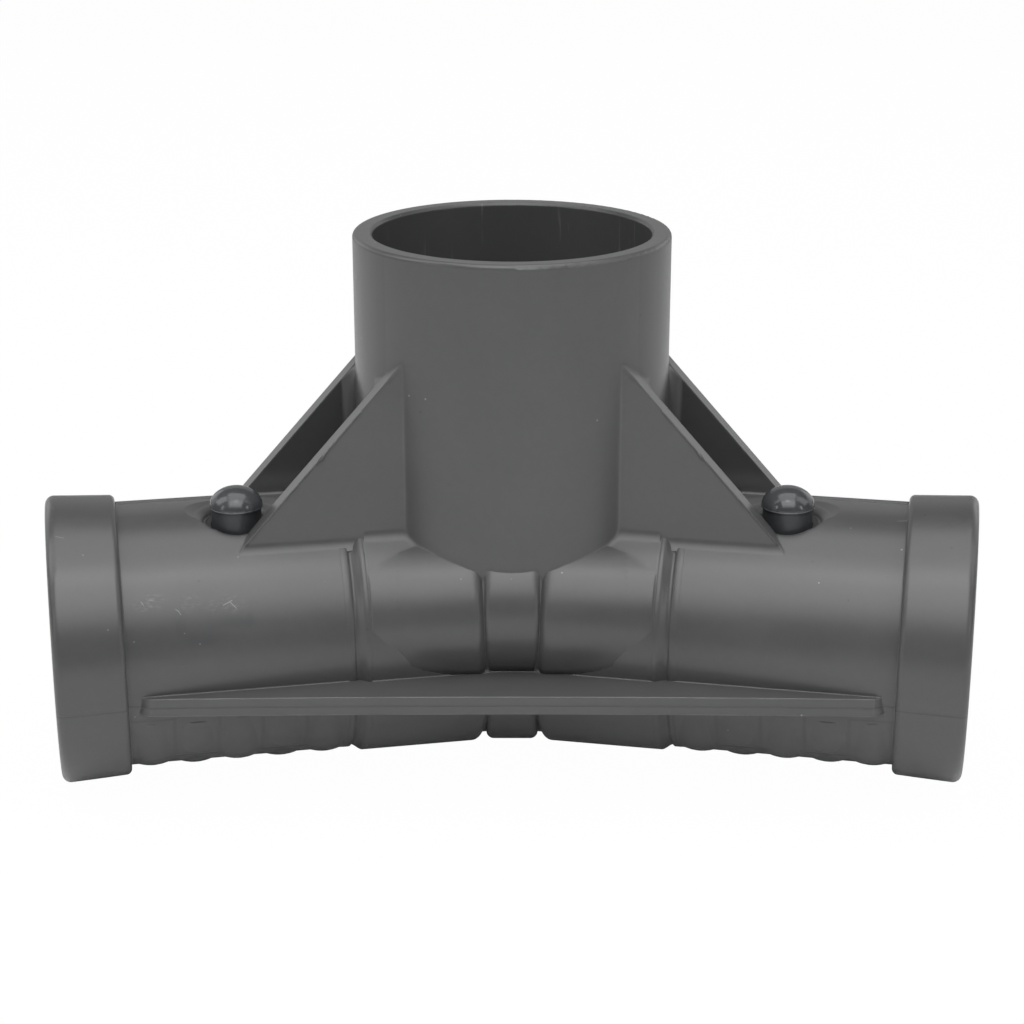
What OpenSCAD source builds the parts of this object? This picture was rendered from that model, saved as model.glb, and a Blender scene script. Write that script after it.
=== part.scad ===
// Tee joint for the frame of an above-ground pool, shown with its leg socket upwards.
// One moulded body takes two rails and one leg, and two push pins lock the rails.
// Millimetres. The origin is the middle of the leg socket's seat, and +Z leaves its mouth.
// The rails bend towards -Y, the pool's inner side.

/* [Leg socket] */
// Radius of the bore that takes the leg tube
leg_bore_r = 25.7; // [24.7:0.1:26.7]
// Wall of the leg socket
leg_wall = 3.6; // [2.8:0.05:4.2]
// Depth of the leg bore from its mouth to its seat
leg_depth = 48; // [44:0.1:56]
// Height of the leg's seat above the rails' axes
seat_rise = 24.5; // [23.6:0.1:27]
// Rounding of the socket's outer lip
mouth_round = 0.8; // [0.4:0.1:1.6]
// Bevel of the socket's inner lip
mouth_bevel = 0.5; // [0.2:0.1:1]
// Length of the leg wall below its seat
skirt_drop = 10.5; // [8:0.5:13]
// Height of the cone that closes the leg wall
skirt_cone = 10; // [6:0.5:12]

/* [Rail sockets] */
// Angle of each rail away from a straight line
rail_yaw = 11.25; // [9:0.25:14]
// Distance of the rails' crossing in front of the leg's axis
rail_offset = 4; // [2:0.5:6]
// Radius of the bore that takes a rail
rail_bore_r = 21.1; // [20:0.1:21.6]
// Wall of a rail socket
rail_wall = 3.2; // [2.7:0.1:3.8]
// Distance from the crossing to the stop of a rail
rail_stop = 34; // [32:0.5:37]
// Distance from the crossing to the mouth of an arm
rail_end = 86.6; // [83:0.2:92]
// Width of the stop behind a rail socket
stop_step = 3.1; // [2:0.1:5]

/* [Collars] */
// Length of the collar round a rail socket's mouth
collar_len = 12.65; // [9:0.05:15]
// Step from an arm up to its collar
collar_rise = 2.3; // [1.5:0.05:3]
// Rounding of a collar's outer edge
collar_round = 1.6; // [0.6:0.1:2]
// Draft of a collar, from its mouth to its inner end
collar_draft = 0.5; // [0:0.05:0.9]

/* [Corner plates] */
// Distance of a plate's outer face from the rail's axis
gusset_out = 13.8; // [13.6:0.1:15.2]
// Thickness of a plate
gusset_t = 3.7; // [2.6:0.1:3.8]
// Distance from the crossing to a plate's foot
gusset_foot = 52.5; // [50:0.1:55]
// Angle of a plate's long edge
gusset_slope = 47.9; // [44:0.1:50]
// Radius of the soft corner at a plate's root
root_r = 3.5; // [1.5:0.1:4.5]
// Radius of the soft corner between a plate's inner face and the leg
leg_root_in = 3; // [1.5:0.5:4]

/* [Centre] */
// Distance from the crossing to the start of a block
block_start = 8.6; // [7.6:0.1:10]
// Distance from the crossing to the end of a block
block_end = 31.6; // [29:0.1:32]
// Step from an arm up to its block
block_rise = 0.8; // [0.4:0.05:1.4]
// Rounding of a block's ends
block_round = 1.4; // [0.6:0.1:1.8]
// Radius of a block's shoulder in front of the leg
shoulder_r = 15.5; // [15:0.1:16.5]
// Turn of the shoulder towards the rail's axis
shoulder_turn = 9.3; // [8:0.1:11]
// Half the width of the band between the blocks
band_half = 4.9; // [4:0.1:6]
// Depth of the grooves beside the band
groove_deep = 0.9; // [0.4:0.1:1.2]
// Width of the groove between a block and its pads
neck_w = 2.6; // [1.8:0.1:3.2]
// Depth of the groove between a block and its pads
neck_deep = 0.65; // [0.3:0.05:0.9]

/* [Ledge] */
// Distance from the crossing down to the top of the ledge
ledge_drop = 2.6; // [1.5:0.1:4]
// Thickness of the ledge
ledge_t = 3.4; // [2.4:0.1:4.4]
// Distance from the crossing to the middle of the ledge's front edge
ledge_out = 37.3; // [36:0.1:38.5]
// Hollow of the ledge's front edge
ledge_sag = 1.2; // [0.6:0.1:2]
// Half the length of the ledge's front edge
ledge_half = 66.5; // [60:0.5:68]

/* [Weave] */
// Number of pads along an arm
pad_columns = 5; // [3:1:6]
// Rise of a pad over the arm
pad_rise = 0.6; // [0.3:0.05:0.9]
// Width of the seam between two rows of pads
pad_seam = 0.3; // [0.2:0.05:0.8]

/* [Lock pins] */
// Distance from the crossing to a pin
pin_at = 52.3; // [50:0.1:54]
// Distance of a pin's axis in front of the rail's axis
pin_out = 4.9; // [4:0.1:5]
// Radius of a pin's shank
shank_r = 4.55; // [4:0.05:4.75]
// Radius of a pin's head
head_r = 4.86; // [4.8:0.02:5]
// Height of the head's dome
dome_h = 3.55; // [2.5:0.05:4.5]
// Press of a pin from its raised place to its seat
pin_travel = 2.8; // [2:0.1:3.2]
// Gap all round a pin's shank
pin_clear = 0.1; // [0.06:0.02:0.2]
// Radius of the recess round a pin's head
recess_r = 5.7; // [5.3:0.1:6]
// Thickness of the wall that guides a pin
guide_t = 1.5; // [1:0.1:1.9]
// Rounding of the recess's rim
dish_round = 2.3; // [1.5:0.1:2.8]

/* [Hidden] */
$fn = 96;
body_colour = [0.36, 0.37, 0.38];
pin_colour = [0.24, 0.25, 0.27];

leg_r = leg_bore_r + leg_wall;
rim_z = seat_rise + leg_depth;
rail_r = rail_bore_r + rail_wall;
core_r = rail_bore_r - stop_step;
collar_r = rail_r + collar_rise;
collar_start = rail_end - collar_len;
block_r = rail_r + block_rise;
pad_start = block_end + neck_w;
pad_pitch = (collar_start - pad_start) / pad_columns;

// Long edge of a plate
foot_z = sqrt(rail_r * rail_r - gusset_out * gusset_out);
edge_climb = tan(gusset_slope);
plate_inner = 14;
root_bite = 0.06;

// Leg's axis in a rail's frame
leg_s = -rail_offset * sin(rail_yaw);
leg_a = rail_offset * cos(rail_yaw);

// Shoulder of a block, in the rail's frame
shoulder_at = 10.3;
shoulder_out = 11.85;
shoulder_up = 5.3;
shoulder_dip = 1.9;

// Upper and lower part of the band
band_up_r = 14;
band_up_out = 14.95;
band_up_z = 6.8;
band_low_out = 0.6;

// Angles of the pads, counted from straight down towards the back
pad_front = -72;
pad_back = 160;
strip_angle = 161.5;
strip_r = 0.8;

// Ledge front edge: a shallow arc
ledge_arc = (ledge_half * ledge_half + ledge_sag * ledge_sag) / (2 * ledge_sag);

// Heights of the pin above the rail's axis
guide_r = rail_bore_r + guide_t;
shank_low = rail_bore_r + 0.2;
head_low = guide_r + pin_travel;
head_lip = 0.25;

// The frame of the right arm: X along the rail, +Y to the back, Z up
module rail_frame() {
    translate([0, -rail_offset, -seat_rise])
        rotate([0, 0, -rail_yaw])
            children();
}

module both_rails() {
    rail_frame() children();
    mirror([1, 0, 0]) rail_frame() children();
}

module along(from, to, r) {
    translate([from, 0, 0])
        rotate([0, 90, 0])
            cylinder(r = r, h = to - from);
}

// Half section of a solid ring with soft outer corners
module soft_section(r, h, low, high) {
    translate([0, low]) square([r, h - low - high]);
    square([r - low, low + 1]);
    translate([0, h - high - 1]) square([r - high, high + 1]);
    translate([r - low, low]) circle(r = low);
    translate([r - high, h - high]) circle(r = high);
}

module leg_outside() {
    translate([0, 0, -skirt_drop])
        rotate_extrude()
            soft_section(leg_r, leg_depth + skirt_drop, 0.2, mouth_round);
    translate([0, 0, -skirt_drop - skirt_cone])
        cylinder(r1 = leg_r - skirt_cone, r2 = leg_r, h = skirt_cone + 0.1);
}

// The inner end of a collar is a little smaller than its mouth
module collar() {
    inner_r = collar_r - collar_draft;
    soft = 1.1;
    translate([collar_start, 0, 0])
        rotate([0, 90, 0])
            rotate_extrude() {
                polygon([
                    [0, soft],
                    [inner_r, soft],
                    [collar_r, collar_len - collar_round],
                    [0, collar_len - collar_round]
                ]);
                square([inner_r - soft, collar_len - 1]);
                translate([inner_r - soft, soft]) circle(r = soft);
                translate([0, collar_len / 2])
                    square([collar_r - collar_round, collar_len / 2]);
                translate([collar_r - collar_round, collar_len - collar_round])
                    circle(r = collar_round);
            }
}

// Arm with its neck groove, and the dish beside the pin
module arm() {
    difference() {
        union() {
            along(-8, rail_end - 2, rail_r - neck_deep);
            translate([pad_start - 0.3, 0, 0])
                rotate([0, 90, 0])
                    rotate_extrude()
                        soft_section(rail_r, rail_end - 2 - pad_start, 0.8, 0.2);
        }
        translate([pin_at, -pin_out, 0]) rotate_extrude() dish_section();
    }
}

// Half section of the space over a pin's recess: its rim is rounded over
module dish_section() {
    rim_r = recess_r + dish_round;
    rim_z = rail_r - pin_out / 10;
    difference() {
        polygon([
            [0, guide_r],
            [rim_r, guide_r],
            [rim_r, rim_z],
            [rim_r + 5, rim_z + 1.2],
            [rim_r + 5, rim_z + 4],
            [0, rim_z + 4]
        ]);
        translate([rim_r, rim_z - dish_round]) circle(r = dish_round);
    }
}

// Its children on both rails, cut where the two rails meet
module mitred() {
    intersection() {
        rail_frame() children();
        translate([0, -100, -100]) cube([200, 200, 200]);
    }
    mirror([1, 0, 0])
        intersection() {
            rail_frame() children();
            translate([0, -100, -100]) cube([200, 200, 200]);
        }
}

// Side view of a plate between the leg and an arm, drawn along and above the rail
module plate_side(drop = 0) {
    polygon([
        [plate_inner, foot_z - 6 + drop],
        [gusset_foot, foot_z - 6 + drop],
        [gusset_foot, foot_z - drop],
        [plate_inner, foot_z - drop + (gusset_foot - plate_inner) * edge_climb]
    ]);
}

// Soft corner between a plate's outer face and the round below it, seen along the rail
module root_section(base) {
    out = gusset_out + root_r - root_bite;
    reach = base + root_r - root_bite;
    up = sqrt(reach * reach - out * out);
    share = (base - root_bite) / reach;
    difference() {
        polygon([
            [gusset_out - 1, up],
            [gusset_out - root_bite, up],
            [out * share, up * share],
            [out * share - 1, up * share - 2],
            [gusset_out - 1, up - 6]
        ]);
        translate([out, up]) circle(r = root_r);
    }
}

module root_run(base, from, to) {
    translate([from, 0, 0])
        rotate([90, 0, 90])
            linear_extrude(height = to - from)
                root_section(base);
}

// One plate behind the rail with its soft root; the front one is its mirror
module plate() {
    translate([0, gusset_out, 0])
        rotate([90, 0, 0])
            linear_extrude(height = gusset_t)
                plate_side();
    intersection() {
        union() {
            root_run(rail_r, plate_inner, gusset_foot + 1);
            root_run(block_r, block_start + 1, block_end - block_round);
        }
        translate([0, gusset_out + 8, 0])
            rotate([90, 0, 0])
                linear_extrude(height = 12)
                    plate_side();
    }
}

// Soft upright corner between a plate's face and the leg, on the side that dir gives
module leg_root(face, dir, r) {
    mid_a = face + dir * (r - root_bite);
    reach = leg_r + r - root_bite;
    mid_s = leg_s + sqrt(reach * reach - pow(mid_a - leg_a, 2));
    share = (leg_r - root_bite) / reach;
    end_s = leg_s + (mid_s - leg_s) * share;
    end_a = leg_a + (mid_a - leg_a) * share;
    intersection() {
        linear_extrude(height = rim_z)
            difference() {
                polygon([
                    [mid_s, face - dir],
                    [mid_s, face - dir * root_bite],
                    [end_s, end_a],
                    [end_s - 1.5, end_a],
                    [end_s - 1.5, face - dir]
                ]);
                translate([mid_s, mid_a]) circle(r = r);
            }
        translate([0, face + 10, 0])
            rotate([90, 0, 0])
                linear_extrude(height = 20)
                    plate_side(0.15);
    }
}

module leg_roots() {
    for (side = [-1, 1]) {
        leg_root(side * (gusset_out - gusset_t), -side, leg_root_in);
    }
}

// Cylinder with soft ends that starts at the shoulder's place and runs outwards
module shoulder_bar(r, from, soft) {
    translate([shoulder_at, -shoulder_out, shoulder_up])
        rotate([0, 0, shoulder_turn])
            rotate([0, 90 + shoulder_dip, 0])
                translate([0, 0, from])
                    rotate_extrude()
                        soft_section(r, 40, soft, soft);
}

module block() {
    translate([block_start, 0, 0])
        rotate([0, 90, 0])
            rotate_extrude()
                soft_section(block_r, block_end - block_start, block_round, block_round);
    intersection() {
        translate([0, -2 * rail_r, -rail_r])
            cube([block_end - block_round, 2 * rail_r, 2 * rail_r + 4]);
        shoulder_bar(shoulder_r, 0, block_round);
    }
}

// Floor of the groove between a block and the band
module groove_floor() {
    intersection() {
        translate([0, -2 * rail_r, -rail_r])
            cube([shoulder_at + 5, 2 * rail_r, 2 * rail_r + 4]);
        shoulder_bar(shoulder_r - groove_deep, -20, 0.2);
    }
}

module band_ring(r, soft) {
    translate([-band_half, 0, 0])
        rotate([0, 90, 0])
            rotate_extrude()
                soft_section(r, 2 * band_half, soft, soft);
}

module band() {
    translate([0, -rail_offset - band_up_out, -seat_rise + band_up_z])
        band_ring(band_up_r, 1);
    translate([0, -rail_offset - band_low_out, -seat_rise])
        band_ring(block_r + 0.1, block_round);
}

// Ledge along the front of both arms, with a hollow front edge
module ledge() {
    translate([0, -rail_offset, -seat_rise - ledge_drop - ledge_t])
        linear_extrude(height = ledge_t)
            difference() {
                polygon([
                    [-ledge_half, -ledge_out + 0.2],
                    [-ledge_half + 2.6, -ledge_out - ledge_sag],
                    [-ledge_half + 6, -ledge_out - 5],
                    [ledge_half - 6, -ledge_out - 5],
                    [ledge_half - 2.6, -ledge_out - ledge_sag],
                    [ledge_half, -ledge_out + 0.2],
                    [ledge_half, -ledge_half * tan(rail_yaw) - 5],
                    [0, -5],
                    [-ledge_half, -ledge_half * tan(rail_yaw) - 5]
                ]);
                translate([0, -ledge_out - ledge_arc]) circle(r = ledge_arc, $fn = 1440);
            }
}

// One pillow of the weave between two angles round the arm
module pad(from, to) {
    half = (to - from) / 2 - 0.5;
    rise = pad_rise * min(1, half / 22);
    chord = rail_r * sin(half);
    sag = rail_r * (1 - cos(half)) + rise;
    round_r = (chord * chord + sag * sag) / (2 * sag);
    len = pad_pitch - pad_seam;
    bow = rise + 0.35;
    bow_r = (len * len / 4 + bow * bow) / (2 * bow);
    rotate([(from + to) / 2, 0, 0])
        translate([0, 0, round_r - rail_r - rise])
            rotate([0, 90, 0])
                rotate([0, 0, -half - 3])
                    rotate_extrude(angle = 2 * half + 6)
                        intersection() {
                            translate([round_r - bow, 0]) square([bow + 1, len]);
                            translate([round_r - bow_r, len / 2]) circle(r = bow_r);
                        }
}

// Weave of one arm: neighbouring columns are staggered by half a pad
module weave() {
    for (column = [0 : pad_columns - 1]) {
        translate([pad_start + column * pad_pitch + pad_seam / 2, 0, 0]) {
            if (column % 2 == 0) {
                pad(pad_front, -12);
                pad(-12, 48);
                pad(48, 108);
                pad(108, pad_back);
            }
            if (column % 2 == 1) {
                pad(pad_front, -42);
                pad(-42, 18);
                pad(18, 78);
                pad(78, 138);
                pad(138, pad_back);
            }
        }
    }
    rotate([strip_angle, 0, 0])
        translate([0, 0, 0.35 - rail_r])
            along(pad_start, collar_start + 1, strip_r);
}

// Guide hole and recess of a pin
module pin_place_cut() {
    translate([pin_at, -pin_out, 0])
        cylinder(r = shank_r + pin_clear, h = rail_r + 6);
    difference() {
        translate([pin_at, -pin_out, 10]) cylinder(r = recess_r, h = rail_r);
        along(pin_at - 12, pin_at + 12, guide_r);
    }
}

module pin() {
    translate([pin_at, -pin_out, 0]) {
        translate([0, 0, shank_low]) cylinder(r = shank_r, h = head_low - shank_low);
        translate([0, 0, head_low]) rotate_extrude() head_section();
    }
}

// Half section of a pin's head: a short lip and a flattened dome
module head_section() {
    steps = 18;
    polygon(concat(
        [[0, 0], [head_r, 0]],
        [for (i = [0 : steps - 1])
            [head_r * cos(i * 90 / steps), head_lip + dome_h * sin(i * 90 / steps)]],
        [[0, head_lip + dome_h]]
    ));
}

module tee_body() {
    color(body_colour)
        difference() {
            union() {
                leg_outside();
                mitred() arm();
                both_rails() {
                    collar();
                    plate();
                    mirror([0, 1, 0]) plate();
                    leg_roots();
                    block();
                    groove_floor();
                    weave();
                }
                band();
                ledge();
            }
            rotate_extrude()
                polygon([
                    [0, 0],
                    [leg_bore_r, 0],
                    [leg_bore_r, leg_depth - mouth_bevel],
                    [leg_bore_r + 2 * mouth_bevel, leg_depth + mouth_bevel],
                    [leg_bore_r + 2 * mouth_bevel, leg_depth + 10],
                    [0, leg_depth + 10]
                ]);
            mitred() along(-8, rail_stop + 1, core_r);
            both_rails() {
                along(rail_stop, rail_end + 1, rail_bore_r);
                pin_place_cut();
            }
        }
}

module pin_right() {
    color(pin_colour) rail_frame() pin();
}

module pin_left() {
    color(pin_colour) mirror([1, 0, 0]) rail_frame() pin();
}

tee_body();
pin_left();
pin_right();
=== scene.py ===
import math
import random

import bmesh
import bpy
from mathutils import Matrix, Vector


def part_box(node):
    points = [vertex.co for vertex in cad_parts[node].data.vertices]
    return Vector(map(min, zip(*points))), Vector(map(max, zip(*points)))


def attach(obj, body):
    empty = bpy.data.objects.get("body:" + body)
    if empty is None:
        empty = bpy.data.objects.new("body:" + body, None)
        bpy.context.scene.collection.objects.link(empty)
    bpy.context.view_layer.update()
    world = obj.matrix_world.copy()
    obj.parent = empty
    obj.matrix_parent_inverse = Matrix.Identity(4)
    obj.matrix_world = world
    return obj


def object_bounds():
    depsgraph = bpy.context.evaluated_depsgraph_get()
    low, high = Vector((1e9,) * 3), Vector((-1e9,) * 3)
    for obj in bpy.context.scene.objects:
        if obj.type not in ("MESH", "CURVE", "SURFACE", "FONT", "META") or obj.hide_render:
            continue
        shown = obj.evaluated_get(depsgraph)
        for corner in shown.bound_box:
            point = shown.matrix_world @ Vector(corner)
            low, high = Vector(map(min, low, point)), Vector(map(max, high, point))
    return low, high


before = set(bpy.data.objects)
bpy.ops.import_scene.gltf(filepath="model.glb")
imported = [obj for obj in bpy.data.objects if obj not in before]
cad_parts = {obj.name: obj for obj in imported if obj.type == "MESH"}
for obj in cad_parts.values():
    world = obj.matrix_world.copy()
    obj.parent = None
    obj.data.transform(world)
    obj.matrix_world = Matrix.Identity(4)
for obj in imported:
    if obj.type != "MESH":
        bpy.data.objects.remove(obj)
cad_box = [list(v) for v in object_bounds()]

# The frame of a rail, from the CAD: height of the rails' axes, their crossing and their yaw
RAIL_Z = -0.0245
CROSS_Y = -0.004
YAW = math.radians(11.25)

# Colours, roughness and specular level of the two plastics
BODY_COLOUR = (0.077, 0.077, 0.0787)
BODY_ROUGH = 0.32
BODY_SPEC = 0.5
PIN_COLOUR = (0.058, 0.061, 0.065)
PIN_ROUGH = 0.16
PIN_SPEC = 0.5
BEVEL_SAMPLES = 6

# Camera: its place in metres, the degrees that it looks down and its lens in mm
CAM_AT = (0.0, -0.39603, 0.13162)
CAM_DOWN = 19.27
CAM_LENS = 76.88

# Floor, in metres: how far it lies below the object, and half its side
FLOOR_DROP = 0.0002
FLOOR_HALF = 3.0

# Places of details, in metres: the ledge's parting line, the pads, a pin, a slit and a pin's seam
PART_Z = -0.0288
PAD_START = 0.0342
PAD_PITCH = 0.00795
PIN_X = 0.05034
PIN_Y = -0.01901
SLIT_A = (0.0670, -0.0411, -0.0345)
SLIT_B = (0.0670, -0.0398, -0.0372)
SEAM_DROP = 0.00355
SEAM_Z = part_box("pin_left")[1][2] - SEAM_DROP

# Outside of the leg, and the soft steps at it, past its bore and at the plates' inner faces, in metres
LEG_R = 0.0293
LEG_EDGE = (0.0292, 0.0294)
BORE_EDGE = (0.0259, 0.0262)
PLATE_EDGE = (0.01012, 0.01016)


# Node helpers
class Tree:
    def __init__(self, owner):
        self.owner = owner
        owner.use_nodes = True
        self.nodes = owner.node_tree.nodes
        self.links = owner.node_tree.links
        self.nodes.clear()

    def add(self, kind, **values):
        n = self.nodes.new(kind)
        for key, value in values.items():
            setattr(n, key, value)
        return n

    def link(self, a, b):
        self.links.new(a, b)

    def put(self, socket, value):
        if isinstance(value, bpy.types.NodeSocket):
            self.link(value, socket)
        else:
            socket.default_value = value

    def math(self, op, a, b=0.0, c=0.0, clamp=False):
        n = self.add("ShaderNodeMath", operation=op, use_clamp=clamp)
        for i, v in enumerate((a, b, c)):
            self.put(n.inputs[i], v)
        return n.outputs[0]

    def vector(self, op, a, b=(0.0, 0.0, 0.0)):
        n = self.add("ShaderNodeVectorMath", operation=op)
        self.put(n.inputs[0], a)
        self.put(n.inputs[1], b)
        return n.outputs["Value" if op in ("DOT_PRODUCT", "LENGTH") else "Vector"]

    def split(self, v):
        n = self.add("ShaderNodeSeparateXYZ")
        self.link(v, n.inputs[0])
        return n.outputs

    def join(self, x, y, z):
        n = self.add("ShaderNodeCombineXYZ")
        for i, v in enumerate((x, y, z)):
            self.put(n.inputs[i], v)
        return n.outputs[0]

    def noise(self, at, scale, detail=2.0, rough=0.5):
        n = self.add("ShaderNodeTexNoise")
        self.link(at, n.inputs["Vector"])
        n.inputs["Scale"].default_value = scale
        n.inputs["Detail"].default_value = detail
        n.inputs["Roughness"].default_value = rough
        return n.outputs["Fac"]

    def cells(self, at, scale):
        n = self.add("ShaderNodeTexVoronoi")
        self.link(at, n.inputs["Vector"])
        n.inputs["Scale"].default_value = scale
        return n.outputs["Distance"], n.outputs["Color"]

    def ramp(self, value, low, high, to_low=0.0, to_high=1.0):
        n = self.add("ShaderNodeMapRange", interpolation_type="SMOOTHSTEP")
        self.put(n.inputs["Value"], value)
        n.inputs["From Min"].default_value = low
        n.inputs["From Max"].default_value = high
        n.inputs["To Min"].default_value = to_low
        n.inputs["To Max"].default_value = to_high
        return n.outputs["Result"]

    # From 1 at low to 0 at high
    def fade(self, value, low, high):
        return self.ramp(value, low, high, 1.0, 0.0)

    def gap(self, a, b):
        return self.math("ABSOLUTE", self.math("SUBTRACT", a, b))

    def length(self, x, y):
        return self.vector("LENGTH", self.join(x, y, 0.0))

    def mix(self, fac, a, b):
        n = self.add("ShaderNodeMix", data_type="RGBA")
        self.put(n.inputs[0], fac)
        self.put(n.inputs[6], a)
        self.put(n.inputs[7], b)
        return n.outputs[2]

    def bump(self, height, strength, distance, normal):
        n = self.add("ShaderNodeBump")
        n.inputs["Strength"].default_value = strength
        n.inputs["Distance"].default_value = distance
        self.link(height, n.inputs["Height"])
        self.link(normal, n.inputs["Normal"])
        return n.outputs["Normal"]

    def bevel(self, radius):
        n = self.add("ShaderNodeBevel", samples=BEVEL_SAMPLES)
        self.put(n.inputs["Radius"], radius)
        return n.outputs["Normal"]

    # 1 inside an ellipsoid, falling to 0 at its soft edge
    def spot(self, at, centre, radii, soft=0.5):
        off = self.vector("SUBTRACT", at, centre)
        reach = self.vector("DIVIDE", off, radii)
        return self.fade(self.vector("LENGTH", reach), 1.0 - soft, 1.0 + soft)

    # 1 along the straight line from a to b
    def stroke(self, at, a, b, width):
        a = Vector(a)
        run = Vector(b) - a
        off = self.vector("SUBTRACT", at, tuple(a))
        along = self.vector("DOT_PRODUCT", off, tuple(run))
        share = self.math("DIVIDE", along, run.length_squared, clamp=True)
        miss = self.vector("SUBTRACT", off, self.scaled(run, share))
        return self.fade(self.vector("LENGTH", miss), width * 0.4, width)

    def add_up(self, parts):
        total = parts[0]
        for p in parts[1:]:
            total = self.math("ADD", total, p)
        return total

    def times(self, *parts):
        total = parts[0]
        for p in parts[1:]:
            total = self.math("MULTIPLY", total, p)
        return total

    # 1 for camera and transmission rays
    def white_rays(self):
        path = self.add("ShaderNodeLightPath")
        camera, through = path.outputs["Is Camera Ray"], path.outputs["Is Transmission Ray"]
        return self.math("MAXIMUM", camera, through)

    # A fixed colour or direction times a factor
    def scaled(self, value, factor):
        n = self.add("ShaderNodeVectorMath", operation="SCALE")
        n.inputs[0].default_value = value
        self.link(factor, n.inputs["Scale"])
        return n.outputs["Vector"]

    def finish(self, colour, rough, normal, specular):
        s = self.add("ShaderNodeBsdfPrincipled")
        self.put(s.inputs["Base Color"], colour)
        self.put(s.inputs["Roughness"], rough)
        s.inputs["Specular IOR Level"].default_value = specular
        self.link(normal, s.inputs["Normal"])
        out = self.add("ShaderNodeOutputMaterial")
        self.link(s.outputs[0], out.inputs[0])
        return self.owner


# Small bright burrs and scratches on the body: two ends in mm, width in mm
SCRATCHES = [
    ((-65.6, -37.3, -10.3), (-64.6, -37.7, -11.7), 0.10),
    ((-64.6, -37.0, -10.2), (-62.9, -36.8, -10.7), 0.08),
    ((-60.0, -36.9, -11.9), (-58.9, -37.2, -12.4), 0.13),
    ((-58.9, -37.2, -12.4), (-58.5, -37.4, -13.0), 0.10),
    ((-51.2, -35.4, -12.0), (-49.7, -34.7, -11.3), 0.12),
    ((-50.1, -34.9, -11.5), (-48.9, -35.3, -12.6), 0.11),
    ((-53.0, -35.7, -12.2), (-51.2, -35.3, -12.0), 0.08),
    ((-80.9, -31.5, -0.45), (-79.5, -31.6, -0.7), 0.09),
    ((-79.6, -44.5, -33.6), (-75.2, -43.6, -33.2), 0.10),
    ((69.9, -22.7, -0.7), (71.3, -22.6, -0.6), 0.10),
    ((71.3, -22.6, -0.6), (72.2, -21.9, -0.45), 0.09),
    ((71.3, -22.6, -0.6), (72.1, -23.3, -0.75), 0.07),
]

# Single bright specks of dust, in mm
SPECKS = [
    (-75.68, -34.35, -2.86), (-70.54, -42.38, -13.85), (-66.45, -40.7, -16.81),
    (-55.15, -38.83, -17.98), (-67.0, -41.18, -31.03), (-44.2, -33.0, -9.4),
    (61.2, -24.1, -1.5), (-49.08, -28.9, -5.27),
]


def mm(p):
    return tuple(c * 0.001 for c in p)


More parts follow.
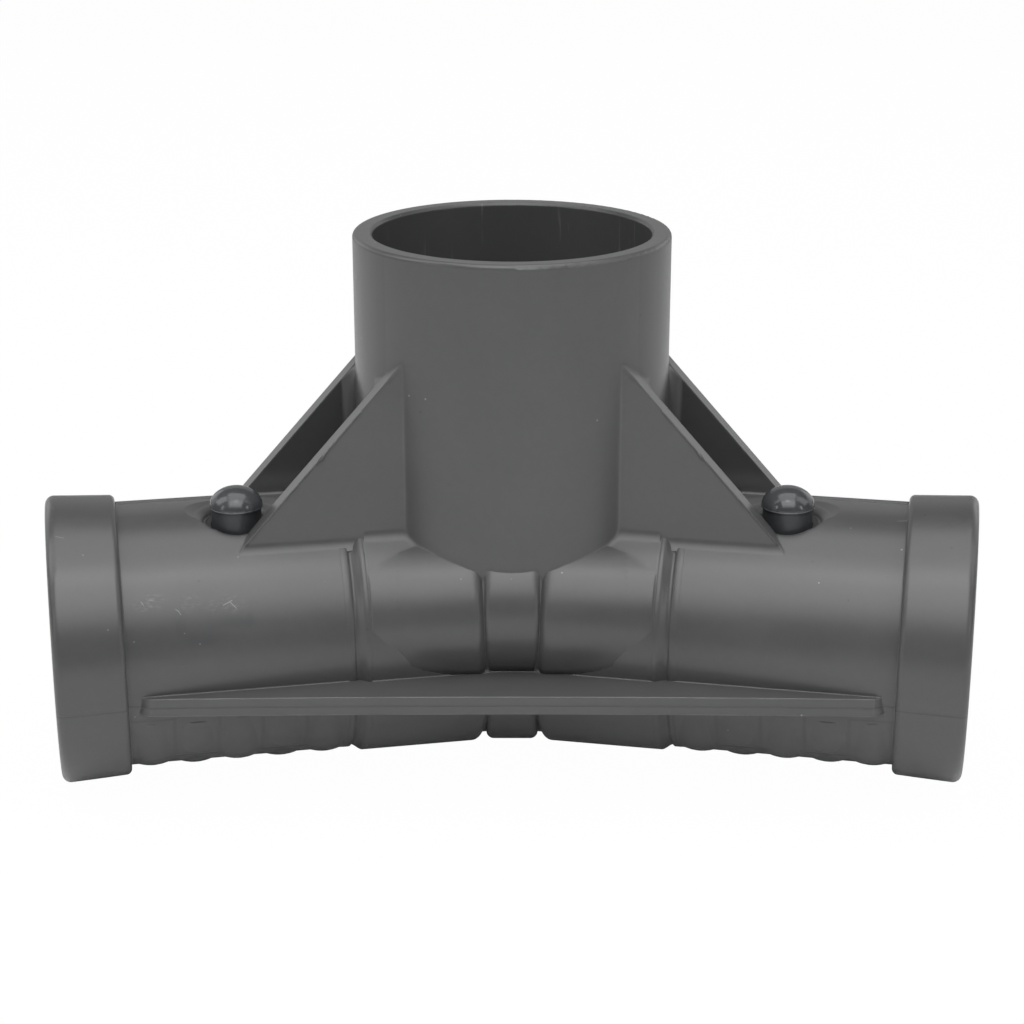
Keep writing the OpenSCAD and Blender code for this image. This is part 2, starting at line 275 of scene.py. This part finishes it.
# Matt grey plastic of the body
def body_plastic():
    t = Tree(bpy.data.materials.new("body_grey"))
    at = t.add("ShaderNodeTexCoord").outputs["Object"]
    geo = t.add("ShaderNodeNewGeometry")
    x, y, z = t.split(at)
    side = t.math("ABSOLUTE", x)
    mirrored = t.join(side, y, z)
    from_leg = t.length(x, y)

    broad = t.noise(at, 26.0, 3.0, 0.6)
    cloud = t.noise(at, 95.0, 2.0, 0.55)
    fine = t.noise(at, 700.0, 3.0, 0.6)
    grain = t.noise(at, 3800.0, 2.0, 0.7)
    dust, dust_colour = t.cells(at, 330.0)
    chance = t.split(dust_colour)

    # Bright dust, small dark flecks, and the listed specks and scratches
    bright = t.times(t.fade(dust, 0.035, 0.075), t.ramp(chance[0], 0.90, 0.91))
    dark = t.times(t.fade(dust, 0.05, 0.12), t.ramp(chance[1], 0.95, 0.96))
    marks = [t.spot(at, mm(p), (0.00014, 0.00014, 0.00014)) for p in SPECKS]
    marks += [t.stroke(at, mm(a), mm(b), w * 0.0011) for a, b, w in SCRATCHES]
    burr = t.math("MINIMUM", t.add_up(marks), 1.0)

    # Rubbed patches on the left arm, and the darker smudges below them
    rub = t.add_up([
        t.spot(at, (-0.0640, -0.0372, -0.0108), (0.0026, 0.0022, 0.0016), 0.6),
        t.spot(at, (-0.0570, -0.0361, -0.0112), (0.0016, 0.0018, 0.0014), 0.6),
        t.spot(at, (-0.0508, -0.0352, -0.0119), (0.0032, 0.0022, 0.0014), 0.6),
    ])
    streak = t.add("ShaderNodeMapping")
    t.link(at, streak.inputs["Vector"])
    streak.inputs["Rotation"].default_value = (0.0, 0.9, 0.2)
    streak.inputs["Scale"].default_value = (1.0, 0.35, 3.2)
    streaks = t.ramp(t.noise(streak.outputs[0], 900.0, 4.0, 0.7), 0.45, 0.72)
    rub = t.math("MINIMUM", t.times(rub, streaks), 1.0)
    smudge = t.add_up([
        t.spot(at, (-0.0584, -0.0382, -0.0146), (0.0010, 0.0020, 0.0016), 0.6),
        t.spot(at, (-0.0500, -0.0366, -0.0146), (0.0042, 0.0022, 0.0010), 0.6),
        t.spot(at, (-0.0545, -0.0388, -0.0172), (0.0030, 0.0030, 0.0013), 0.7),
        t.spot(at, (-0.0466, -0.0359, -0.0146), (0.0006, 0.0016, 0.0012), 0.6),
    ])
    smudge = t.times(t.math("MINIMUM", smudge, 1.0), t.ramp(cloud, 0.35, 0.6, 0.4, 1.0))

    # Parting line on the ledge's front, and a slit of painted shade at the outer end of each weave
    front = t.fade(y, -0.0405, -0.0395)
    line = t.fade(t.gap(z, PART_Z), 0.00008, 0.00022)
    line = t.times(line, front)
    slit_shade = t.stroke(mirrored, SLIT_A, SLIT_B, 0.00042)

    # Seams between the pads of the weave, darkened as painted shade
    out_from = t.math("SUBTRACT", y, CROSS_Y)
    across = t.math("ADD", t.times(side, math.sin(YAW)), t.times(out_from, math.cos(YAW)))
    on_arm = t.math("SUBTRACT", t.times(side, math.cos(YAW)), t.times(out_from, math.sin(YAW)))
    high = t.math("SUBTRACT", z, RAIL_Z)
    turn = t.math("DEGREES", t.math("ARCTAN2", across, t.math("MULTIPLY", high, -1.0)))
    column = t.math("DIVIDE", t.math("SUBTRACT", on_arm, PAD_START), PAD_PITCH)
    odd = t.math("FLOORED_MODULO", t.math("FLOOR", column), 2.0)
    col_gap = t.gap(t.math("FLOORED_MODULO", t.math("ADD", column, 0.5), 1.0), 0.5)
    col_line = t.fade(col_gap, 0.018, 0.07)
    row = t.math("ADD", t.math("SUBTRACT", turn, 48.0), t.math("MULTIPLY", odd, 30.0))
    row_gap = t.gap(t.math("FLOORED_MODULO", t.math("ADD", row, 30.0), 60.0), 30.0)
    row_line = t.fade(row_gap, 0.5, 1.5)
    from_rail = t.length(across, high)
    pad_seam_shade = t.times(
        t.math("MAXIMUM", t.math("MULTIPLY", col_line, 0.7), row_line),
        t.ramp(turn, -73.0, -71.0), t.fade(turn, 158.0, 160.0),
        t.ramp(column, -0.03, 0.0), t.fade(column, 4.94, 4.97),
        t.ramp(from_rail, 0.0236, 0.0240), t.fade(from_rail, 0.0252, 0.0256),
    )

    # Painted shade: darker colour in the recess round a pin, between the plates and inside the leg
    pin_gap = t.length(t.math("SUBTRACT", side, PIN_X), t.math("SUBTRACT", y, PIN_Y))
    painted_shade_recess = t.times(
        t.fade(pin_gap, 0.0054, 0.0072), t.ramp(z, -0.012, -0.010), t.fade(z, 0.0005, 0.001),
    )
    between = t.times(
        t.fade(t.math("ABSOLUTE", across), *PLATE_EDGE), t.ramp(z, 0.0005, 0.003),
        t.ramp(from_leg, *LEG_EDGE),
    )
    inner = t.times(t.fade(from_leg, *BORE_EDGE), t.ramp(z, -0.001, 0.001))
    painted_shade_sheltered = t.math("MAXIMUM", inner, between)

    # Draw marks down the leg's bore
    angle = t.math("ARCTAN2", y, x)
    down = t.join(t.math("MULTIPLY", angle, 2.2), t.math("MULTIPLY", z, 4.0), 0.0)
    drawn = t.noise(down, 9.0, 3.0, 0.7)
    drawn = t.times(inner, t.ramp(drawn, 0.62, 0.72))

    # Radius of the soft shading, wider at the plates' roots on the leg and at the leg's foot
    leg_gap = t.gap(from_leg, LEG_R)
    at_leg = t.times(t.fade(leg_gap, 0.0012, 0.0028), t.fade(z, 0.030, 0.034))
    at_foot = t.times(
        t.fade(z, -0.006, -0.002), t.fade(on_arm, 0.028, 0.030), t.ramp(z, -0.012, -0.009),
    )
    wide = t.math("MAXIMUM", at_leg, at_foot)
    soft = t.bevel(t.math("ADD", 0.00045, t.math("MULTIPLY", wide, 0.0010)))
    # Lighter colour along edges: partly wear and partly painted highlight, stronger on the ledge
    facing = t.vector("DOT_PRODUCT", soft, geo.outputs["True Normal"])
    edge = t.fade(facing, 0.80, 0.97)
    shelf = t.times(
        t.ramp(z, -0.032, -0.031), t.fade(z, -0.0266, -0.0262), t.fade(y, -0.030, -0.0285),
    )
    more = t.math("ADD", 1.0, t.math("MULTIPLY", shelf, 0.8))
    wear_and_edge_highlight = t.times(edge, t.ramp(cloud, 0.3, 0.6, 0.35, 1.0), more)

    tint = t.ramp(broad, 0.3, 0.7, 0.955, 1.045)
    tint = t.times(tint, t.ramp(cloud, 0.3, 0.7, 0.985, 1.015), t.ramp(fine, 0.3, 0.7, 0.975, 1.025))
    colour = t.scaled(BODY_COLOUR, tint)
    # Layers over the base, in order: where, how strong and which colour
    for where, share, tone in (
        (painted_shade_sheltered, 0.38, (0.03, 0.03, 0.031)),
        (painted_shade_recess, 0.60, (0.022, 0.022, 0.024)),
        (wear_and_edge_highlight, 0.40, (0.24, 0.24, 0.245)),
        (pad_seam_shade, 0.34, (0.035, 0.035, 0.037)),
        (drawn, 0.35, (0.19, 0.19, 0.195)),
        (rub, 0.24, (0.30, 0.30, 0.30)),
        (smudge, 0.30, (0.045, 0.047, 0.05)),
        (line, 0.42, (0.05, 0.05, 0.052)),
        (slit_shade, 0.75, (0.02, 0.02, 0.022)),
        (dark, 0.45, (0.03, 0.03, 0.03)),
        (bright, 0.50, (0.42, 0.42, 0.42)),
        (burr, 0.26, (0.50, 0.50, 0.49)),
    ):
        colour = t.mix(t.times(where, share), colour, tone + (1.0,))

    rough = t.ramp(broad, 0.3, 0.7, BODY_ROUGH - 0.025, BODY_ROUGH + 0.025)
    rough = t.math("ADD", rough, t.ramp(fine, 0.3, 0.7, -0.015, 0.015))
    rough = t.math("ADD", rough, t.times(rub, 0.12))
    normal = t.bump(grain, 0.14, 0.00003, soft)
    normal = t.bump(cloud, 0.16, 0.00012, normal)
    relief = t.math("MULTIPLY", t.add_up([line, slit_shade, pad_seam_shade]), -1.0)
    normal = t.bump(relief, 0.5, 0.00012, normal)
    return t.finish(colour, rough, normal, BODY_SPEC)


# Glossy dark plastic of the pins
def pin_plastic():
    t = Tree(bpy.data.materials.new("pin_grey"))
    at = t.add("ShaderNodeTexCoord").outputs["Object"]
    z = t.split(at)[2]
    broad = t.noise(at, 240.0, 2.0, 0.5)
    fine = t.noise(at, 2200.0, 2.0, 0.6)
    dust, dust_colour = t.cells(at, 700.0)
    chance = t.split(dust_colour)
    speck = t.times(t.fade(dust, 0.05, 0.10), t.ramp(chance[0], 0.94, 0.95))
    seam = t.fade(t.gap(z, SEAM_Z), 0.00003, 0.00010)
    soft = t.bevel(0.00025)
    normal = t.bump(broad, 0.12, 0.00005, soft)
    normal = t.bump(fine, 0.05, 0.00002, normal)
    normal = t.bump(seam, 0.6, 0.00006, normal)
    rough = t.ramp(broad, 0.3, 0.7, PIN_ROUGH - 0.02, PIN_ROUGH + 0.03)
    rough = t.math("ADD", rough, t.ramp(fine, 0.3, 0.7, -0.01, 0.02))
    below = t.fade(z, SEAM_Z - 0.0003, SEAM_Z)
    rough = t.math("ADD", rough, t.math("MULTIPLY", below, 0.24))
    tint = t.ramp(broad, 0.3, 0.7, 0.94, 1.06)
    tint = t.times(tint, t.math("SUBTRACT", 1.0, t.math("MULTIPLY", below, 0.3)))
    colour = t.mix(t.times(seam, 0.5), t.scaled(PIN_COLOUR, tint), (0.22, 0.23, 0.24, 1.0))
    colour = t.mix(t.times(speck, 0.35), colour, (0.3, 0.3, 0.3, 1.0))
    return t.finish(colour, rough, normal, PIN_SPEC)


body_grey = body_plastic()
pin_grey = pin_plastic()
for node, mat in (("tee_body", body_grey), ("pin_left", pin_grey), ("pin_right", pin_grey)):
    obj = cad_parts[node]
    obj.data.materials.clear()
    obj.data.materials.append(mat)


# Camera at the photo's angle
scene = bpy.context.scene
cam_data = bpy.data.cameras.new("camera")
cam_data.sensor_width = 36.0
cam_data.lens = CAM_LENS
cam = bpy.data.objects.new("camera", cam_data)
scene.collection.objects.link(cam)
cam.location = CAM_AT
cam.rotation_euler = (math.radians(90.0 - CAM_DOWN), 0.0, 0.0)
cam_data.clip_start = 0.01
cam_data.clip_end = 20.0
scene.camera = cam


# A finished piece in the body's plastic
def piece(name, verts, faces):
    mesh = bpy.data.meshes.new(name)
    mesh.from_pydata(verts, [], faces)
    bm = bmesh.new()
    bm.from_mesh(mesh)
    bmesh.ops.recalc_face_normals(bm, faces=bm.faces)
    bm.to_mesh(mesh)
    bm.free()
    for p in mesh.polygons:
        p.use_smooth = True
    mesh.materials.append(body_grey)
    obj = bpy.data.objects.new(name, mesh)
    scene.collection.objects.link(obj)
    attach(obj, "tee")


# Smooth step from 0 to 1
def ease(t):
    t = min(1.0, max(0.0, t))
    return t * t * (3.0 - 2.0 * t)


# Level direction square to an axis, towards the camera's side
def front_of(axis):
    front = Vector((0.0, 0.0, 1.0)).cross(axis).normalized()
    return -front if front.y > 0 else front


# Faces over rings of m points each, with end caps unless the rings close on themselves
def skin(count, m, closed):
    faces = []
    for i in range(count if closed else count - 1):
        j = (i + 1) % count
        for k in range(m):
            l = (k + 1) % m
            faces.append((i * m + k, i * m + l, j * m + l, j * m + k))
    if not closed:
        faces.append(tuple(range(m)))
        faces.append(tuple(range(count * m - 1, (count - 1) * m - 1, -1)))
    return faces


# Ring turned about an axis: rows of (along, radius) in mm, closed on its inner side
def turned(name, centre, direction, rows, inner, n):
    axis = Vector(direction).normalized()
    up = Vector((0.0, 0.0, 1.0))
    front = front_of(axis)
    loop = list(rows) + [(rows[-1][0], inner), (rows[0][0], inner)]
    verts = []
    for i in range(n):
        a = math.radians(360.0 * i / n)
        ray = up * math.cos(a) + front * math.sin(a)
        for s, r in loop:
            verts.append(tuple(Vector(centre) + axis * (s * 0.001) + ray * (r * 0.001)))
    piece(name, verts, skin(n, len(loop), True))


# Neck of an arm, in mm: start and length of its soft flank and of its valley, and its inner radius
FLANK = (30.9, 2.2)
VALLEY = (33.1, 0.45)
NECK_INNER = 23.0


def neck_rows():
    rows = [(30.2, 25.02), (30.6, 25.09)]
    for i in range(1, 13):
        s = FLANK[0] + FLANK[1] * i / 12
        rows.append((s, 25.11 - 1.16 * ease((s - FLANK[0]) / FLANK[1])))
    for i in range(1, 6):
        s = VALLEY[0] + VALLEY[1] * i / 5
        rows.append((s, 23.95 + 0.37 * ease((s - VALLEY[0]) / VALLEY[1])))
    return rows + [(34.7, 24.32), (35.1, 24.2)]


# Fronts: height of their foot in metres, angle where the round starts, and the stretch in mm that bends
APRON_FOOT = -0.0274
TOP_ANGLE = 50.0
BEND_START = 2.0
BEND_RUN = 9.0


# Front of a block or of the band from rows of (along, radius) in mm: a round, then straight to its foot
def apron(name, centre, direction, rows, thick, turn, turn_out):
    axis = Vector(direction).normalized()
    front = front_of(axis)
    up = axis.cross(front).normalized()
    if up.z < 0:
        up = -up
    steps = 26
    verts = []
    for s, r in rows:
        mid = Vector(centre) + axis * (s * 0.001)
        low = (APRON_FOOT - mid.z) * 1000.0
        bend = turn + (turn_out - turn) * min(max((s - BEND_START) / BEND_RUN, 0.0), 1.0)
        section = []
        for k in range(steps + 1):
            a = math.radians(TOP_ANGLE + (180.0 - TOP_ANGLE + bend) * k / steps)
            section.append((-r * math.cos(a), r * math.sin(a)))
        out_last, high_last = section[-1]
        for part in (0.5, 1.0):
            drop = (high_last - low) * part
            section.append((out_last - drop * math.tan(math.radians(bend)), high_last - drop))
        section.append((section[-1][0] - thick, low))
        inner = r - thick
        for k in range(steps, -1, -6):
            a = math.radians(TOP_ANGLE + (180.0 - TOP_ANGLE) * k / steps)
            section.append((-inner * math.cos(a), inner * math.sin(a)))
        for out, high in section:
            verts.append(tuple(mid + front * (out * 0.001) + up * (high * 0.001)))
    piece(name, verts, skin(len(rows), len(verts) // len(rows), False))


# Axis of the right block's front in metres, and radius of the blocks' fronts in mm
SHOULDER = Vector((0.00779, -0.017632, -0.0192))
SHOULDER_RUN = Vector((0.9989, -0.0340, -0.0332))
BLOCK_R = 15.52
BLOCK_ROWS = [(14.5, 15.40), (13.0, 15.50)] + [(12.0 - 1.1 * i, BLOCK_R) for i in range(12)]
BLOCK_ROWS += [(-1.1 - 1.75 * i / 10, BLOCK_R - 1.15 * ease(i / 10)) for i in range(1, 11)]

# Band's front in mm: half its width, its radius and the round of its two ends
BAND_HALF = 4.94
BAND_R = 14.03
BAND_ROUND = 1.1
BAND_END = [
    (BAND_HALF - BAND_ROUND * i / 8,
     BAND_R - BAND_ROUND * (1.0 - math.sqrt(1.0 - (1.0 - i / 8) ** 2)))
    for i in range(9)
]
BAND_ROWS = BAND_END + [(2.0, BAND_R), (0.0, BAND_R), (-2.0, BAND_R)]
BAND_ROWS += [(-s, r) for s, r in reversed(BAND_END)]

for sign, tag in ((-1, "left"), (1, "right")):
    turned("neck_" + tag, (0.0, CROSS_Y, RAIL_Z), (math.cos(YAW) * sign, -math.sin(YAW), 0.0),
           neck_rows(), NECK_INNER, 180)
    apron("block_front_" + tag, (SHOULDER.x * sign, SHOULDER.y, SHOULDER.z),
          (SHOULDER_RUN.x * sign, SHOULDER_RUN.y, SHOULDER_RUN.z), BLOCK_ROWS, 3.5, 20.0, 4.0)
apron("band_front", (0.0, CROSS_Y - 0.01495, RAIL_Z + 0.0068), (1.0, 0.0, 0.0),
      BAND_ROWS, 3.0, 28.0, 28.0)


# Outer edge of a front plate, from the CAD: an arm's radius, and the edge's distance out, foot and slope
ARM_R = 0.0243
GUSSET_OUT = 0.0138
GUSSET_FOOT = 0.0525
GUSSET_CLIMB = math.tan(math.radians(47.9))
FOOT_Z = math.sqrt(ARM_R ** 2 - GUSSET_OUT ** 2)


def plate_edge(s, sign):
    x = s * math.cos(YAW) - GUSSET_OUT * math.sin(YAW)
    y = CROSS_Y - s * math.sin(YAW) - GUSSET_OUT * math.cos(YAW)
    z = RAIL_Z + FOOT_Z + (GUSSET_FOOT - s) * GUSSET_CLIMB
    return Vector((x * sign, y, z))


# Thin moulding flash along the outer edge of a front plate; nibs are (place, reach, size) in metres
FLASH_START = 0.0515
FLASH_END = 0.0300


def flash(name, sign, seed, nibs):
    rnd = random.Random(seed)
    along = (plate_edge(FLASH_END, sign) - plate_edge(FLASH_START, sign)).normalized()
    out = Vector((-math.sin(YAW) * sign, -math.cos(YAW), 0.0))
    up = out.cross(along)
    if up.z < 0:
        up = -up
    rings = []
    n = 150
    wave = [rnd.uniform(0.4, 1.0) for _ in range(n + 1)]
    for i in range(n + 1):
        s = FLASH_START + (FLASH_END - FLASH_START) * i / n
        near = wave[max(0, i - 2):i + 3]
        w = sum(near) / len(near)
        proud = 0.00012 + 0.00013 * w
        tall = 0.00008 + 0.00005 * w
        for at, reach, size in nibs:
            g = math.exp(-((s - at) / reach) ** 2)
            proud += size * g
            tall += size * 0.55 * g
        mid = plate_edge(s, sign) - up * 0.00012
        rings.append([
            mid - out * 0.0001 - up * tall,
            mid + out * proud * 0.7 - up * tall,
            mid + out * proud,
            mid + out * proud * 0.7 + up * tall,
            mid - out * 0.0001 + up * tall,
        ])
    verts = [tuple(v) for ring in rings for v in ring]
    piece(name, verts, skin(len(rings), 5, False))


flash("flash_left", -1, 11, [
    (0.0374, 0.0006, 0.00042), (0.0352, 0.0003, 0.00018), (0.0421, 0.0002, 0.0001),
])
flash("flash_right", 1, 23, [(0.0372, 0.00045, 0.00028), (0.0315, 0.0003, 0.0001)])


# Lamps, all aimed at the frame's origin: name, place, size and power
for name, place, size, power in (
    ("lamp_top", (0.0, 0.05, 0.75), (0.7, 0.6), 2.8),
    ("lamp_top_front", (0.0, -0.45, 0.72), (0.8, 0.5), 1.5),
    ("lamp_over_front", (0.0, -0.54, 0.65), (0.8, 0.66), 3.5),
    ("lamp_left", (-0.62, 0.0, 0.55), (0.4, 0.6), 1.8),
    ("lamp_right", (0.62, 0.0, 0.55), (0.4, 0.6), 1.1),
    ("wall_back", (0.0, 0.95, 0.30), (2.2, 0.56), 1.4),
    ("wall_left", (-0.80, 0.62, 0.26), (0.9, 0.5), 1.0),
    ("wall_right", (0.80, 0.62, 0.26), (0.9, 0.5), 1.0),
    ("spot_high", (0.0, -0.30, 0.80), (0.20, 0.15), 0.30),
    ("spot_left", (-0.74, -0.50, 0.28), (0.13, 0.36), 0.55),
    ("spot_right", (0.74, -0.50, 0.28), (0.13, 0.36), 0.55),
):
    data = bpy.data.lights.new(name, "AREA")
    data.shape = "RECTANGLE"
    data.size, data.size_y = size
    data.energy = power
    obj = bpy.data.objects.new(name, data)
    scene.collection.objects.link(obj)
    obj.location = place
    obj.visible_camera = False
    obj.rotation_euler = (-Vector(place)).to_track_quat("-Z", "Y").to_euler()

# World: faint even light, and white to camera and transmission rays
world = bpy.data.worlds.new("world")
scene.world = world
sky = Tree(world)
background = sky.add("ShaderNodeBackground")
background.inputs["Color"].default_value = (1.0, 1.0, 1.0, 1.0)
sky.link(sky.ramp(sky.white_rays(), 0.0, 1.0, 0.03, 1.0), background.inputs["Strength"])
sky.link(background.outputs[0], sky.add("ShaderNodeOutputWorld").inputs[0])


# Floor: pale, and near white to camera and transmission rays
def floor(level):
    mesh = bpy.data.meshes.new("floor")
    h = FLOOR_HALF
    corners = [(-h, -h, level), (h, -h, level), (h, h, level), (-h, h, level)]
    mesh.from_pydata(corners, [], [(0, 1, 2, 3)])
    obj = bpy.data.objects.new("floor", mesh)
    scene.collection.objects.link(obj)
    t = Tree(bpy.data.materials.new("floor_white"))
    diffuse = t.add("ShaderNodeBsdfDiffuse")
    diffuse.inputs["Color"].default_value = (0.9, 0.9, 0.9, 1.0)
    glow = t.add("ShaderNodeEmission")
    glow.inputs["Color"].default_value = (1.0, 1.0, 1.0, 1.0)
    glow.inputs["Strength"].default_value = 1.0
    mix = t.add("ShaderNodeMixShader")
    t.link(t.math("MULTIPLY", t.white_rays(), 0.985), mix.inputs[0])
    t.link(diffuse.outputs[0], mix.inputs[1])
    t.link(glow.outputs[0], mix.inputs[2])
    out = t.add("ShaderNodeOutputMaterial")
    t.link(mix.outputs[0], out.inputs[0])
    mesh.materials.append(t.owner)


floor(cad_box[0][2] - FLOOR_DROP)

scene.view_settings.view_transform = "Standard"
